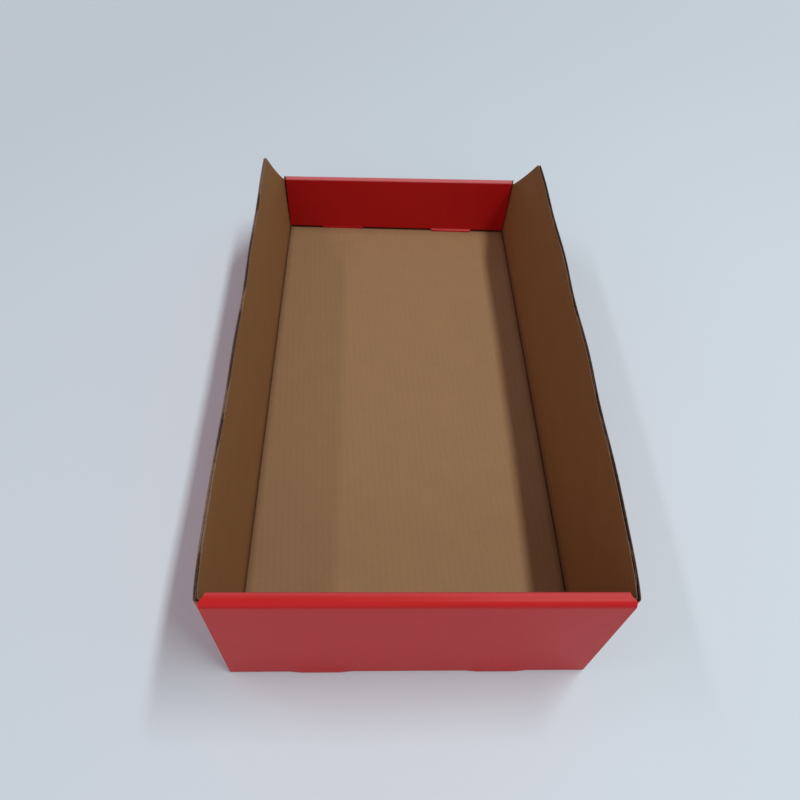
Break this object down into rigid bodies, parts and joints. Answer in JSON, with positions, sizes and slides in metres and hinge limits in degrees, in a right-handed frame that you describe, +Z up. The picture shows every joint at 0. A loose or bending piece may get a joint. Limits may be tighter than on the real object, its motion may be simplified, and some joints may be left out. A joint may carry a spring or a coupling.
{
  "type": "cardboard tray box",
  "caption": "Open display tray folded from one corrugated board blank, red outside and kraft inside, with roll-over locking ends, one end tall and the other low.",
  "frame": {"origin": "centre of the underside of the base", "axes": "+Z up, X across the tray, Y along it, with the tall end at -Y and the low end at +Y"},
  "size_m": [0.1659, 0.3068, 0.076],
  "materials": {
    "board": "printed red outside, bare kraft inside"
  },
  "bodies": {
    "root": {"tray": "board"}
  },
  "joints": []
}
